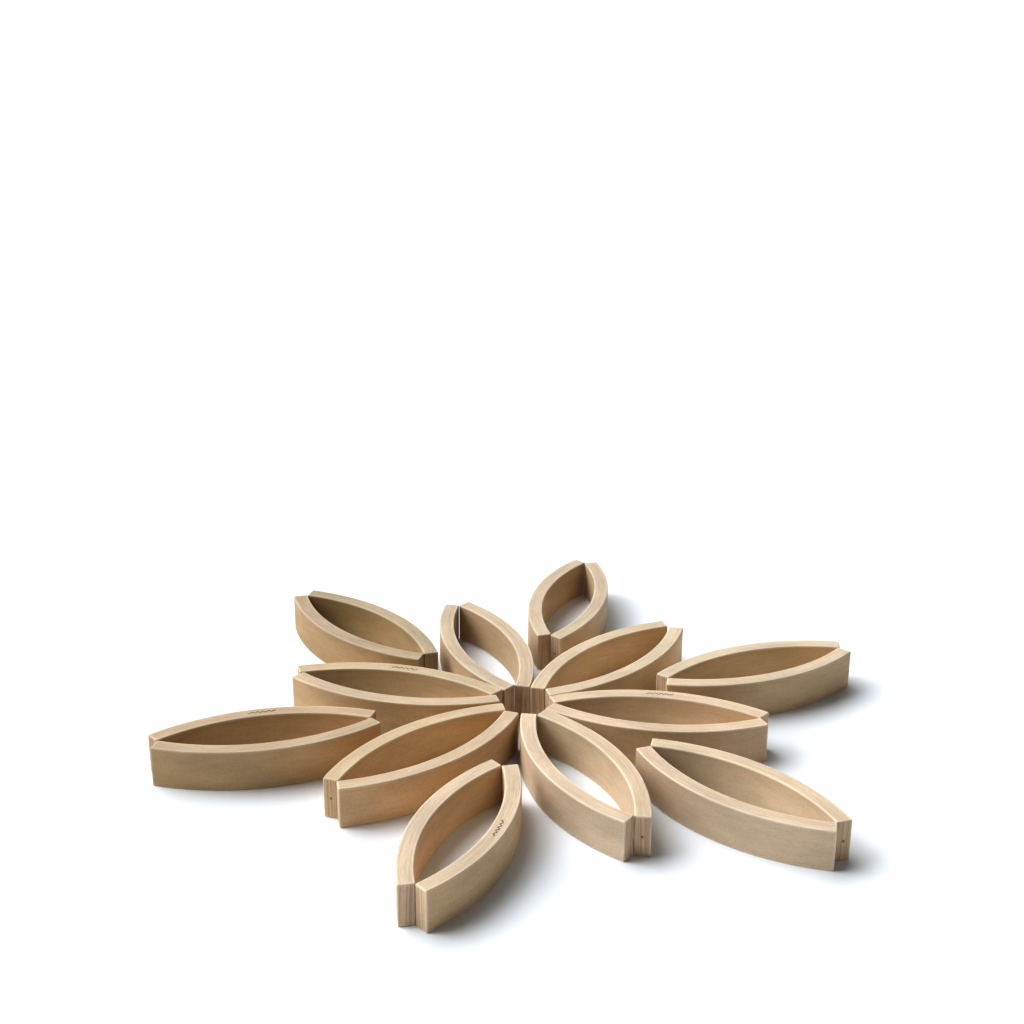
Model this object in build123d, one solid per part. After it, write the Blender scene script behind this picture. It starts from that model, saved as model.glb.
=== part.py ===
from build123d import *
import math
import os

# A set of 24 loose, identical, curved wooden blocks, laid out flat as a flower of 12 leaves.
# Each block is a 60 degree piece of a ring, standing on one of its long curved edges. Two blocks with
# their hollow sides facing outline a leaf. Six inner leaves stand round a hexagonal hole, and six outer
# leaves stand in the gaps between them. A small disc magnet is sealed inside each end of every block.
# Millimetres, +Z up, the table top at Z = 0 and the origin in the middle of the set's footprint.

# ---- driving dimensions of one block ----------------------------------------------------------------
inner_radius = 150.0  # of the hollow side
thickness = 11.5
height = 30.0
sweep = 60.0  # angle that one block covers: six of them close a ring
edge_round = 1.0  # sanded edges

magnet_diameter = 6.0
magnet_length = 3.0
magnet_cover = 1.5  # wood left between a magnet's pocket and the end face
pocket_clearance = 0.1  # all round the magnet, and at both of its faces

dot_diameter = 1.8  # drilled dot that marks the pole of the magnet behind it
dot_depth = 0.6

half_wave_count = 10  # the engraved ornament is a wavy line of small arcs
half_wave_length = 2.0
half_wave_rise = 0.8
wave_line = 0.7
wave_depth = 0.3

# ---- the layout: leaves placed by hand, so no two stand exactly alike --------------------------------
# reach and bearing (mm, degrees): the leaf's inner tip, seen from the middle of the flower
# heading (degrees): the way the leaf points
# gap (mm): across the leaf, between the two blocks' rounded corners at that tip; below zero where the
#     corner of one block is tucked into the hollow of the other
# lead (mm): how far the left block stands ahead of the right one along the leaf
# splay (degrees): how much the two blocks open towards the outer tip
leaves = {
    "inner_1": dict(reach=21.2, bearing=342.2, heading=352.9, gap=0.1, lead=0.3, splay=0.0),
    "inner_2": dict(reach=20.1, bearing=49.7, heading=48.6, gap=0.1, lead=-0.4, splay=0.6),
    "inner_3": dict(reach=22.6, bearing=114.9, heading=109.2, gap=0.0, lead=0.6, splay=0.1),
    "inner_4": dict(reach=25.1, bearing=168.8, heading=167.8, gap=-0.9, lead=-2.5, splay=0.0),
    "inner_5": dict(reach=25.0, bearing=230.5, heading=223.3, gap=-0.2, lead=1.1, splay=0.0),
    "inner_6": dict(reach=25.8, bearing=285.9, heading=295.4, gap=-0.3, lead=1.3, splay=0.0),
    "outer_1": dict(reach=111.9, bearing=18.9, heading=22.5, gap=-0.1, lead=0.9, splay=0.0),
    "outer_2": dict(reach=110.6, bearing=81.1, heading=78.5, gap=-0.2, lead=1.4, splay=0.1),
    "outer_3": dict(reach=107.9, bearing=138.9, heading=134.4, gap=0.1, lead=0.5, splay=0.0),
    "outer_4": dict(reach=116.5, bearing=196.6, heading=194.8, gap=0.1, lead=-0.6, splay=0.0),
    "outer_5": dict(reach=99.7, bearing=260.8, heading=251.3, gap=0.1, lead=0.1, splay=0.0),
    "outer_6": dict(reach=110.4, bearing=321.9, heading=319.9, gap=0.1, lead=0.0, splay=0.0),
}
engraved_blocks = ("inner_1_left", "inner_4_right", "outer_4_right", "outer_5_left")
swapped_blocks = ("inner_3_right", "inner_5_left", "inner_5_right", "outer_5_left")  # dot at the other end

# ---- one block in its own frame: chord along X, its middle at X = 0, round side towards +Y -----------
half_sweep = math.radians(sweep / 2)
outer_radius = inner_radius + thickness
middle_radius = inner_radius + thickness / 2
half_chord = inner_radius * math.sin(half_sweep)
corner_set_back = edge_round * (math.sqrt(2) * math.cos(math.pi / 4 - half_sweep) - 1)  # by the rounding
ring_centre_y = -inner_radius * math.cos(half_sweep)
both_ends = (1, -1)  # the end towards +X and the end towards -X


def on_ring(radius, angle, z=0.0):
    """A point of the ring, with the angle in radians from the middle of the block towards +X."""
    return Vector(radius * math.sin(angle), ring_centre_y + radius * math.cos(angle), z)


def end_plane(end):
    """The plane of one end face, centred on the face and facing out of the block."""
    outward = Vector(end * math.cos(half_sweep), -math.sin(half_sweep))
    return Plane(origin=on_ring(middle_radius, end * half_sweep, height / 2), z_dir=outward)


def curved_side(radius):
    """The block's arc at one radius, from its -X end to its +X end."""
    return ThreePointArc(on_ring(radius, -half_sweep), on_ring(radius, 0), on_ring(radius, half_sweep))


def block_blank():
    """The plain curved block with its edges sanded round."""
    round_side, hollow_side = curved_side(outer_radius), curved_side(inner_radius)
    ends = [Line(round_side @ i, hollow_side @ i) for i in (0, 1)]
    blank = extrude(make_face([round_side, hollow_side, *ends]), amount=height)
    return fillet(blank.edges(), edge_round)


def magnet(end, clearance=0.0):
    """The disc magnet behind one end face or, with a clearance, the pocket that holds it."""
    depth = magnet_cover + pocket_clearance + magnet_length / 2
    seat = end_plane(end).offset(-depth)
    return seat * Cylinder(magnet_diameter / 2 + clearance, magnet_length + 2 * clearance)


def wave_ornament():
    """The engraved wavy line in the middle of the top edge, as the solid that cuts it."""
    step = half_wave_length / middle_radius
    angles = [(i - half_wave_count / 2) * step for i in range(half_wave_count + 1)]
    knots = [on_ring(middle_radius, angle, height) for angle in angles]
    rises = [half_wave_rise if i % 2 else -half_wave_rise for i in range(half_wave_count)]
    line = [SagittaArc(a, b, rise) for a, b, rise in zip(knots, knots[1:], rises)]
    return extrude(trace(line, wave_line), amount=wave_depth, both=True)


def wooden_block(dot_end, engraved):
    """One block with its two sealed magnet pockets, its pole dot and, on some, the ornament."""
    block = block_blank() - [magnet(end, pocket_clearance) for end in both_ends]
    block -= end_plane(dot_end) * Cylinder(dot_diameter / 2, 2 * dot_depth)
    if engraved:
        block -= wave_ornament()
    return block


def seat_in_leaf(leaf, side):
    """Where a block goes: on the leaf's left (side 1) or, turned half round, on its right (side -1)."""
    bearing = math.radians(leaf["bearing"])
    tip = Pos(leaf["reach"] * math.cos(bearing), leaf["reach"] * math.sin(bearing)) * Rot(Z=leaf["heading"])
    apart = leaf["gap"] / 2 - corner_set_back
    corner = Pos(side * leaf["lead"] / 2, side * apart) * Rot(Z=side * leaf["splay"] / 2)
    return tip * corner * Pos(half_chord) * Rot(Z=0 if side > 0 else 180)


# ---- the set -----------------------------------------------------------------------------------------
magnet_pair = Compound([magnet(end) for end in both_ends])

nodes = {}
for leaf_name, leaf in leaves.items():
    for side_name, side in (("left", 1), ("right", -1)):
        name = f"{leaf_name}_{side_name}"
        seat = seat_in_leaf(leaf, side)
        dot_end = -1 if name in swapped_blocks else 1
        nodes[f"{name}_block"] = seat * wooden_block(dot_end, name in engraved_blocks)
        nodes[f"{name}_magnets"] = seat * magnet_pair

footprint = Compound([shape for name, shape in nodes.items() if name.endswith("block")]).bounding_box()
to_middle = Pos(-footprint.center().X, -footprint.center().Y)

os.makedirs("parts", exist_ok=True)
for name, shape in nodes.items():
    export_step(to_middle * shape, f"parts/{name}.step")
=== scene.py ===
import math
import random
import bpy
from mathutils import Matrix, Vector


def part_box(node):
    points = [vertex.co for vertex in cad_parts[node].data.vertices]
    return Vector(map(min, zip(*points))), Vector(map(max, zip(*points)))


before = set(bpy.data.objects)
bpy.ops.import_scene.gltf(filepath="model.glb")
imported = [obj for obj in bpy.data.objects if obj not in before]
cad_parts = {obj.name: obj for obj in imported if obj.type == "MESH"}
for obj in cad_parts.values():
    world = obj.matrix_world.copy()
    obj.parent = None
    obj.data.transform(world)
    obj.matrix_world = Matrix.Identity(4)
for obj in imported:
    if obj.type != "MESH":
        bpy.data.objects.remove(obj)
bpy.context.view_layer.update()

from types import SimpleNamespace

import bpy
import numpy as np
from mathutils import Matrix, Vector

# Looks for a set of 24 loose curved beech blocks with sealed magnets, laid out as a flower of 12 leaves.
# The blocks keep their CAD shapes. Metres, +Z up, the floor at Z = 0.

MM = 0.001

# ---- driving dimensions of one block, as in the CAD --------------------------------------------------
INNER_RADIUS = 150 * MM
OUTER_RADIUS = 161.5 * MM
MIDDLE_RADIUS = (INNER_RADIUS + OUTER_RADIUS) / 2
HALF_SWEEP = math.radians(30)
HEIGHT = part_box("inner_1_left_block")[1].z
DOT_RADIUS = 0.9 * MM
DOT_DEPTH = 0.6 * MM
ORNAMENT_HALF_LENGTH = 11 * MM
ORNAMENT_HALF_WIDTH = 2 * MM

# ---- colours of the wood -----------------------------------------------------------------------------
EARLYWOOD = (0.655, 0.492, 0.312, 1)
LATEWOOD = (0.515, 0.352, 0.202, 1)
# level faces: paler and less strongly coloured than the sides
PALE_LEVEL_FACE = (0.640, 0.545, 0.422, 1)
SAWN_END = (0.730, 0.555, 0.385, 1)
FLECK = (0.380, 0.235, 0.125, 1)
# pale worn edge, which is also a painted highlight along the rims
WORN_AND_HIGHLIT_EDGE = (0.800, 0.690, 0.540, 1)
# painted shade for the gaps where the blocks of a leaf meet
GAP_SHADE_COLOUR = (0.260, 0.165, 0.095, 1)
END_GRAIN = (0.400, 0.260, 0.160, 1)
BURNT = (0.170, 0.098, 0.048, 1)
DRILLED = (0.340, 0.205, 0.120, 1)

# the blocks of one leaf are cut from one board: its brightness, and how strongly coloured its cut faces
# (top and ends) and its curved sides are. These values also hold painted light and shade across the set:
# the back-left leaves darker, with more strongly coloured sides, and the front-right ones lighter
LEAF_TONE_LIGHT_AND_SHADE = {
    "inner_1": (1.06, 1.00, 1.00), "inner_2": (1.01, 1.00, 1.08), "inner_3": (0.90, 1.00, 1.00),
    "inner_4": (0.95, 1.08, 1.12), "inner_5": (0.99, 1.10, 1.17), "inner_6": (1.08, 1.00, 0.84),
    "outer_1": (0.98, 1.00, 1.08), "outer_2": (0.90, 1.00, 1.02), "outer_3": (0.71, 1.20, 1.30),
    "outer_4": (0.86, 1.12, 1.22), "outer_5": (1.04, 1.00, 1.06), "outer_6": (1.06, 1.00, 0.86),
}

# ---- colours of the magnets and of the floor ---------------------------------------------------------
PLATING = (0.66, 0.63, 0.58, 1)
DULL_PLATING = (0.56, 0.54, 0.51, 1)
PAPER = (0.90, 0.945, 1.0, 1)

# ---- patterns: how often each repeats in a metre, in the wood along the fibres, across the wall and up --
WANDER_RATE = (11, 25, 16)
STREAK_RATE = (75, 1400, 420)
FLECK_RATE = (380, 3600, 1700)
CLOUD_RATE = (18, 60, 40)
PORE_RATE = (300, 5200, 5200)
PATCHY_RATE = (90, 160, 160)
SCRATCH_RATE = (900, 900, 9000)
PLATING_CLOUD_RATE = (350, 350, 350)
LAYER_RATE = 380  # growth layers in a metre of depth
LAYER_WIDTH_RATE = 300  # how soon their width changes
LAYER_SHIFT = 3.0  # by how many layers the changing width moves them
WANDER = 2.5 * MM  # how far a layer strays along a block
MOST_TILT = 0.12  # how far a layer leans, from one block to another
SEED_ALONG, SEED_ACROSS, SEED_TILT = 3.1, 1.7, 7.3  # what a block's seed moves its grain by, and its tilt

# ---- wear, painted highlight, painted shade and relief: a pair is where something starts to show and where it shows fully ---
FACING = (0.6, 0.85)  # how squarely a face looks one way
# the band of pale worn edge, partly a painted highlight
EDGE_WEAR_AND_HIGHLIGHT = (1.9 * MM, 0.4 * MM)  # distance from the nearest edge
# painted shade where the blocks of a leaf meet
GAP_SHADE_REACH = (1.3 * MM, 0.5 * MM)  # distance from a hollow-side corner of an end
EDGE_UNEVENNESS = 1.2 * MM
SUNK_IN_TOP = (0.03 * MM, 0.10 * MM)
SUNK_IN_END = (0.05 * MM, 0.15 * MM)
STREAK_RISE = 0.030 * MM
LATEWOOD_RISE = 0.012 * MM
FLECK_SINK = 0.020 * MM
PORE_SINK = 0.05 * MM
SCRATCH_SINK = 0.02 * MM

# ---- light and camera --------------------------------------------------------------------------------
# azimuth 0 comes from the viewer and 90 from the left; softness is the light's disc in degrees
LIGHTS = {
    "window": dict(azimuth=92, elevation=37, strength=2.1, softness=45),
    "high_window": dict(azimuth=120, elevation=55, strength=2.1, softness=45),
    "far_window": dict(azimuth=150, elevation=40, strength=0.75, softness=40),
    "back": dict(azimuth=190, elevation=13, strength=1.25, softness=35),
    "fill": dict(azimuth=300, elevation=25, strength=0.3, softness=60, colour=(1.0, 0.94, 0.86)),
}
ROOM_LIGHT = 0.045
ROOM_AS_SEEN = 1.2  # the camera itself sees the room as white
CONTRAST_GAMMA = 0.83

CAMERA_PLACE = Vector((0.0146, -1.0875, 0.5963))
CAMERA_LOOKS_DOWN = math.radians(21.51)
CAMERA_ROLL = math.radians(0.893)
CAMERA_LENS = 57.93
CAMERA_SENSOR = 36
CAMERA_SHIFT = (-0.0292, 0.0079)
FLOOR_REACH = 15.0
VIEW_DEPTH = 100


# ---- a short way to write node materials ---------------------------------------------------------------
class Shader:
    """One node material. Each call adds a node, fills its inputs and returns its output."""

    def __init__(self, name):
        self.material = bpy.data.materials.new(name)
        self.material.use_nodes = True
        self.tree = self.material.node_tree
        self.tree.nodes.clear()

    def node(self, kind, inputs, output=0, **settings):
        node = self.tree.nodes.new("ShaderNode" + kind)
        for key, value in settings.items():
            setattr(node, key, value)
        for key, value in inputs.items():
            if isinstance(value, bpy.types.NodeSocket):
                self.tree.links.new(value, node.inputs[key])
            else:
                node.inputs[key].default_value = value
        return node.outputs[output]

    def math(self, operation, a, b=0.0):
        return self.node("Math", {0: a, 1: b}, operation=operation)

    def add(self, a, b):
        return self.math("ADD", a, b)

    def subtract(self, a, b):
        return self.math("SUBTRACT", a, b)

    def absolute(self, a):
        return self.math("ABSOLUTE", a)

    def less(self, a, b):
        return self.math("LESS_THAN", a, b)

    def lowest(self, a, b):
        return self.math("MINIMUM", a, b)

    def highest(self, a, b):
        return self.math("MAXIMUM", a, b)

    def multiply(self, first, *others):
        for other in others:
            first = self.math("MULTIPLY", first, other)
        return first

    def vector(self, x, y, z):
        return self.node("CombineXYZ", {0: x, 1: y, 2: z})

    def vectors(self, operation, a, b=(0, 0, 0), output=0):
        return self.node("VectorMath", {0: a, 1: b}, output, operation=operation)

    def dot(self, a, b):
        return self.vectors("DOT_PRODUCT", a, b, output="Value")

    def distance(self, x, y):
        return self.vectors("LENGTH", self.vector(x, y, 0), output="Value")

    def split(self, vector, part):
        return self.node("SeparateXYZ", {0: vector}, part)

    def ramp(self, value, start, end, low=0.0, high=1.0):
        """A smooth step from low at start to high at end."""
        inputs = {"Value": value, "From Min": start, "From Max": end, "To Min": low, "To Max": high}
        return self.node("MapRange", inputs, interpolation_type="SMOOTHSTEP")

    def noise(self, place, rate=(1, 1, 1), detail=2.0, roughness=0.5):
        inputs = {
            "Vector": self.vectors("MULTIPLY", place, rate), "Scale": 1.0, "Detail": detail,
            "Roughness": roughness,
        }
        return self.node("TexNoise", inputs, "Fac")

    def tint(self, factor, a, b):
        """Colour a with colour b laid over it by the factor."""
        return self.node("Mix", {0: factor, 6: a, 7: b}, 2, data_type="RGBA")

    def of_object(self, name, output="Fac"):
        return self.node("Attribute", {}, output, attribute_type="OBJECT", attribute_name=name)

    def finish(self, **inputs):
        named = {key.replace("_", " "): value for key, value in inputs.items()}
        surface = self.node("BsdfPrincipled", named)
        output = self.tree.nodes.new("ShaderNodeOutputMaterial")
        self.tree.links.new(surface, output.inputs["Surface"])
        return self.material


# ---- beech ---------------------------------------------------------------------------------------------
def point_on_block(s):
    """The shaded point in its block's own frame, and how far it is from the block's faces."""
    at = SimpleNamespace()
    place = s.node("TexCoord", {}, "Object")
    chord = s.of_object("chord", "Vector")
    from_centre = s.vectors("SUBTRACT", place, s.of_object("ring_centre", "Vector"))
    at.x = s.dot(from_centre, chord)
    y = s.dot(from_centre, s.vectors("CROSS_PRODUCT", (0, 0, 1), chord))
    at.z = s.split(place, "Z")
    at.radius = s.distance(at.x, y)
    angle = s.math("ARCTAN2", at.x, y)
    at.along = s.multiply(angle, MIDDLE_RADIUS)

    at.to_hollow_side = s.subtract(at.radius, INNER_RADIUS)
    at.to_end = s.multiply(at.radius, s.math("SINE", s.subtract(HALF_SWEEP, s.absolute(angle))))
    to_level = s.lowest(at.z, s.subtract(HEIGHT, at.z))
    to_side = s.lowest(at.to_hollow_side, s.subtract(OUTER_RADIUS, at.radius))
    # the nearest edge is as far off as the middle one of the three distances
    nearer, farther = s.lowest(to_level, to_side), s.highest(to_level, to_side)
    at.to_edge = s.highest(nearer, s.lowest(farther, at.to_end))

    normal = s.node("TexCoord", {}, "Normal")
    along_fibres = s.vectors("NORMALIZE", s.vectors("CROSS_PRODUCT", from_centre, (0, 0, 1)))
    at.on_end = s.ramp(s.absolute(s.dot(normal, along_fibres)), *FACING)
    at.on_level = s.ramp(s.absolute(s.split(normal, "Z")), *FACING)
    return at


def grain_patterns(s, at):
    """What grew in the wood, each as a value from 0 to 1. All of it follows the block's arc."""
    seen = SimpleNamespace()
    seed = s.of_object("seed")
    own_along = s.add(at.along, s.multiply(seed, SEED_ALONG))
    own_radius = s.add(at.radius, s.multiply(seed, SEED_ACROSS))
    seen.place = s.vector(own_along, own_radius, at.z)

    # growth layers: thin upright bands that darken slowly and end sharply
    tilt = s.multiply(s.subtract(s.math("FRACT", s.multiply(seed, SEED_TILT)), 0.5), MOST_TILT)
    wander = s.multiply(s.noise(seen.place, WANDER_RATE, detail=1.0), WANDER)
    depth = s.add(s.add(at.radius, s.multiply(at.z, tilt)), wander)
    width_place = s.vector(s.add(s.multiply(depth, LAYER_WIDTH_RATE), seed), 0, seed)
    shift = s.multiply(s.noise(width_place, detail=0.0), LAYER_SHIFT)
    phase = s.math("FRACT", s.add(s.multiply(depth, LAYER_RATE), shift))
    seen.latewood = s.multiply(s.ramp(phase, 0.2, 0.85), s.ramp(phase, 1.0, 0.92))

    # fine streaks along the fibres, ray flecks as short dark dashes, soft clouds, and pores as dots
    seen.streaks = s.noise(seen.place, STREAK_RATE, detail=3.0, roughness=0.6)
    cells = {"Vector": s.vectors("MULTIPLY", seen.place, FLECK_RATE), "Scale": 1.0}
    seen.flecks = s.ramp(s.node("TexVoronoi", cells, "Distance"), 0.33, 0.18)
    seen.clouds = s.noise(seen.place, CLOUD_RATE)
    seen.pores = s.noise(seen.place, PORE_RATE, detail=1.0)
    return seen


def edge_and_gap_masks(s, at, seen):
    """How worn each edge is, with a painted highlight along it, and the painted shade at the hollow-side
    corners of the ends, where they knock against the next block.
    """
    patchy = s.noise(seen.place, PATCHY_RATE, detail=3.0, roughness=0.65)
    uneven = s.multiply(s.subtract(patchy, 0.5), EDGE_UNEVENNESS)
    # pale worn edge band, partly a painted highlight
    edge = s.ramp(s.add(at.to_edge, uneven), *EDGE_WEAR_AND_HIGHLIGHT)
    # painted shade in the gap at the hollow-side corners of the ends, made patchy
    corner = s.ramp(s.highest(at.to_hollow_side, at.to_end), *GAP_SHADE_REACH)
    return edge, s.multiply(corner, s.ramp(patchy, 0.25, 0.65, 0.5, 1.0))


def sunk_marks(s, at):
    """Where the surface lies below a face: in the burnt ornament, and in the drilled pole dot."""
    from_middle = s.absolute(s.subtract(at.radius, MIDDLE_RADIUS))
    below_top = s.ramp(s.subtract(HEIGHT, at.z), *SUNK_IN_TOP)
    near_top = s.math("GREATER_THAN", at.z, HEIGHT * 0.9)
    in_width = s.less(from_middle, ORNAMENT_HALF_WIDTH)
    in_length = s.less(s.absolute(at.x), ORNAMENT_HALF_LENGTH)
    in_ornament = s.multiply(below_top, near_top, in_width, in_length)

    below_end = s.ramp(at.to_end, *SUNK_IN_END)
    near_end = s.less(at.to_end, DOT_DEPTH * 1.5)
    from_dot = s.distance(from_middle, s.subtract(at.z, HEIGHT / 2))
    in_dot = s.multiply(below_end, near_end, s.less(from_dot, DOT_RADIUS * 1.05))
    return in_ornament, in_dot


def beech():
    """Bent and sanded beech, with worn edges carrying a painted highlight, painted shade where the blocks
    meet, painted light and shade in each leaf's tone, sawn ends and sunk marks.
    """
    s = Shader("beech")
    at = point_on_block(s)
    seen = grain_patterns(s, at)
    edge, gap_shade = edge_and_gap_masks(s, at, seen)
    in_ornament, in_dot = sunk_marks(s, at)
    on_level, on_end = at.on_level, at.on_end

    layers_seen = s.add(0.10, s.add(s.multiply(on_end, 0.30), s.multiply(on_level, 0.25)))
    streaks_seen = s.add(0.30, s.multiply(on_level, 0.30))
    flecks_seen = s.subtract(0.45, s.multiply(on_end, 0.45))
    open_pores = s.multiply(s.ramp(seen.pores, 0.55, 0.7), on_end)

    # level faces tinted paler and less strongly coloured than the sides
    colour = s.tint(s.multiply(on_level, 0.8), s.tint(on_end, EARLYWOOD, SAWN_END), PALE_LEVEL_FACE)
    colour = s.tint(s.multiply(seen.latewood, layers_seen), colour, LATEWOOD)
    colour = s.tint(s.multiply(on_end, seen.latewood, 0.45), colour, END_GRAIN)
    colour = s.tint(s.multiply(s.ramp(seen.streaks, 0.40, 0.70), streaks_seen), colour, LATEWOOD)
    colour = s.tint(s.multiply(seen.flecks, flecks_seen), colour, FLECK)
    colour = s.tint(s.multiply(open_pores, 0.4), colour, FLECK)
    # pale worn edges, partly a painted highlight along the rims
    colour = s.tint(s.multiply(edge, 0.65), colour, WORN_AND_HIGHLIT_EDGE)
    # painted shade at the hollow-side corners of the ends, where the blocks meet
    colour = s.tint(s.multiply(gap_shade, 0.8), colour, GAP_SHADE_COLOUR)
    colour = s.tint(in_ornament, colour, BURNT)
    colour = s.tint(in_dot, colour, DRILLED)

    # a block's brightness and colour strength: its wood's own tone and soft clouds, with painted light and
    # shade laid over them by leaf
    brightness = s.multiply(s.ramp(seen.clouds, 0.3, 0.7, 0.90, 1.08), s.of_object("tone_light_and_shade"))
    on_cut = s.highest(on_level, on_end)
    strength = s.ramp(on_cut, 0.0, 1.0, s.of_object("side_strength"), s.of_object("cut_strength"))
    colour = s.node("HueSaturation", {
        "Hue": s.of_object("hue"), "Saturation": strength, "Value": brightness, "Color": colour,
    })

    roughness = s.add(0.52, s.multiply(seen.streaks, 0.16))
    roughness = s.add(roughness, s.add(s.multiply(on_end, 0.12), s.multiply(seen.flecks, 0.08)))
    roughness = s.subtract(roughness, s.multiply(edge, 0.08))
    roughness = s.highest(roughness, s.multiply(s.highest(in_ornament, in_dot), 0.85))

    relief = s.add(s.multiply(seen.streaks, STREAK_RISE), s.multiply(seen.latewood, LATEWOOD_RISE))
    relief = s.subtract(relief, s.multiply(seen.flecks, FLECK_SINK))
    relief = s.subtract(relief, s.multiply(seen.pores, on_end, PORE_SINK))
    bump = s.node("Bump", {"Strength": 1.0, "Distance": 1.0, "Height": relief})
    return s.finish(Base_Color=colour, Roughness=roughness, IOR=1.5, Specular_IOR_Level=0.5, Normal=bump)


# ---- the other materials -------------------------------------------------------------------------------
def nickel():
    """The plating of the sealed magnets: pale warm metal with fine handling scratches."""
    s = Shader("nickel_plating")
    place = s.node("TexCoord", {}, "Object")
    scratches = s.noise(place, SCRATCH_RATE, detail=4.0, roughness=0.7)
    cloud = s.noise(place, PLATING_CLOUD_RATE)
    colour = s.tint(s.ramp(cloud, 0.35, 0.7), PLATING, DULL_PLATING)
    roughness = s.ramp(scratches, 0.3, 0.7, 0.2, 0.38)
    bump = s.node("Bump", {"Strength": 0.4, "Distance": SCRATCH_SINK, "Height": scratches})
    return s.finish(Base_Color=colour, Metallic=1.0, Roughness=roughness, Normal=bump)


def white_paper():
    s = Shader("white_paper")
    return s.finish(Base_Color=PAPER, Roughness=0.9, Specular_IOR_Level=0.1)


# ---- each block's own frame, seed, and tone with painted light and shade -------------------------------
def block_frame(block):
    """The block's chord direction and its ring's centre, both level, from its outermost corners."""
    points = np.array([v.co[:2] for v in block.data.vertices])
    middle = points.mean(0)
    one = points[np.linalg.norm(points - middle, axis=1).argmax()]
    other = points[np.linalg.norm(points - one, axis=1).argmax()]
    chord = (other - one) / np.linalg.norm(other - one)
    across = np.array([-chord[1], chord[0]])
    between = (one + other) / 2
    if (middle - between) @ across < 0:
        chord, across = -chord, -across
    crown = ((points - between) @ across).max()
    ring_centre = between + across * (crown - OUTER_RADIUS)
    return (*chord, 0.0), (*ring_centre, 0.0)


def paint():
    wood, metal = beech(), nickel()
    dice = random.Random(24)
    for name, node in sorted(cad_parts.items()):
        is_block = name.endswith("_block")
        node.data.materials.clear()
        node.data.materials.append(wood if is_block else metal)
        if is_block:
            leaf = name.rsplit("_", 2)[0]
            # the leaf's values hold painted light and shade as well as its wood tone
            tone_light_and_shade, cut_strength, side_strength = LEAF_TONE_LIGHT_AND_SHADE[leaf]
            node["chord"], node["ring_centre"] = block_frame(node)
            node["seed"] = dice.uniform(0, 10)
            node["tone_light_and_shade"] = tone_light_and_shade + dice.uniform(-0.02, 0.02)
            node["hue"] = 0.5 + dice.uniform(-0.004, 0.004)
            own_strength = dice.uniform(-0.04, 0.04)
            node["cut_strength"] = cut_strength + own_strength
            node["side_strength"] = side_strength + own_strength


# ---- floor, light and camera ---------------------------------------------------------------------------
def floor():
    mesh = bpy.data.meshes.new("floor")
    corners = [(x * FLOOR_REACH, y * FLOOR_REACH, 0) for x, y in ((-1, -1), (1, -1), (1, 1), (-1, 1))]
    mesh.from_pydata(corners, [], [(0, 1, 2, 3)])
    mesh.materials.append(white_paper())
    plane = bpy.data.objects.new("floor", mesh)
    bpy.context.scene.collection.objects.link(plane)


def sun(name, azimuth, elevation, strength, softness, colour=(1, 1, 1)):
    """A soft distant light."""
    light = bpy.data.lights.new(name, "SUN")
    light.energy = strength
    light.angle = math.radians(softness)
    light.color = colour
    lamp = bpy.data.objects.new(name, light)
    a, e = math.radians(azimuth), math.radians(elevation)
    towards = Vector((-math.sin(a) * math.cos(e), -math.cos(a) * math.cos(e), math.sin(e)))
    lamp.rotation_mode = "QUATERNION"
    lamp.rotation_quaternion = towards.to_track_quat("Z", "Y")
    bpy.context.scene.collection.objects.link(lamp)


def room():
    """Dim pale surroundings that the camera itself sees as white."""
    world = bpy.data.worlds.new("room")
    world.use_nodes = True
    tree = world.node_tree
    tree.nodes.clear()
    ray = tree.nodes.new("ShaderNodeLightPath")
    level = tree.nodes.new("ShaderNodeMapRange")
    level.inputs["To Min"].default_value = ROOM_LIGHT
    level.inputs["To Max"].default_value = ROOM_AS_SEEN
    background = tree.nodes.new("ShaderNodeBackground")
    background.inputs["Color"].default_value = (1, 1, 1, 1)
    output = tree.nodes.new("ShaderNodeOutputWorld")
    tree.links.new(ray.outputs["Is Camera Ray"], level.inputs["Value"])
    tree.links.new(level.outputs[0], background.inputs["Strength"])
    tree.links.new(background.outputs[0], output.inputs["Surface"])
    bpy.context.scene.world = world


def camera():
    forward = Vector((0, math.cos(CAMERA_LOOKS_DOWN), -math.sin(CAMERA_LOOKS_DOWN)))
    level = Vector((1, 0, 0))
    upright = level.cross(forward)
    right = math.cos(CAMERA_ROLL) * level + math.sin(CAMERA_ROLL) * upright
    up = math.cos(CAMERA_ROLL) * upright - math.sin(CAMERA_ROLL) * level
    data = bpy.data.cameras.new("camera")
    data.lens = CAMERA_LENS
    data.sensor_width = CAMERA_SENSOR
    data.shift_x, data.shift_y = CAMERA_SHIFT
    data.clip_end = VIEW_DEPTH
    eye = bpy.data.objects.new("camera", data)
    turned = Matrix((right, up, -forward)).transposed().to_4x4()
    eye.matrix_world = Matrix.Translation(CAMERA_PLACE) @ turned
    bpy.context.scene.collection.objects.link(eye)
    bpy.context.scene.camera = eye


paint()
floor()
for light_name, light_values in LIGHTS.items():
    sun(light_name, **light_values)
room()
camera()
bpy.context.scene.view_settings.view_transform = "Standard"
bpy.context.scene.view_settings.gamma = CONTRAST_GAMMA
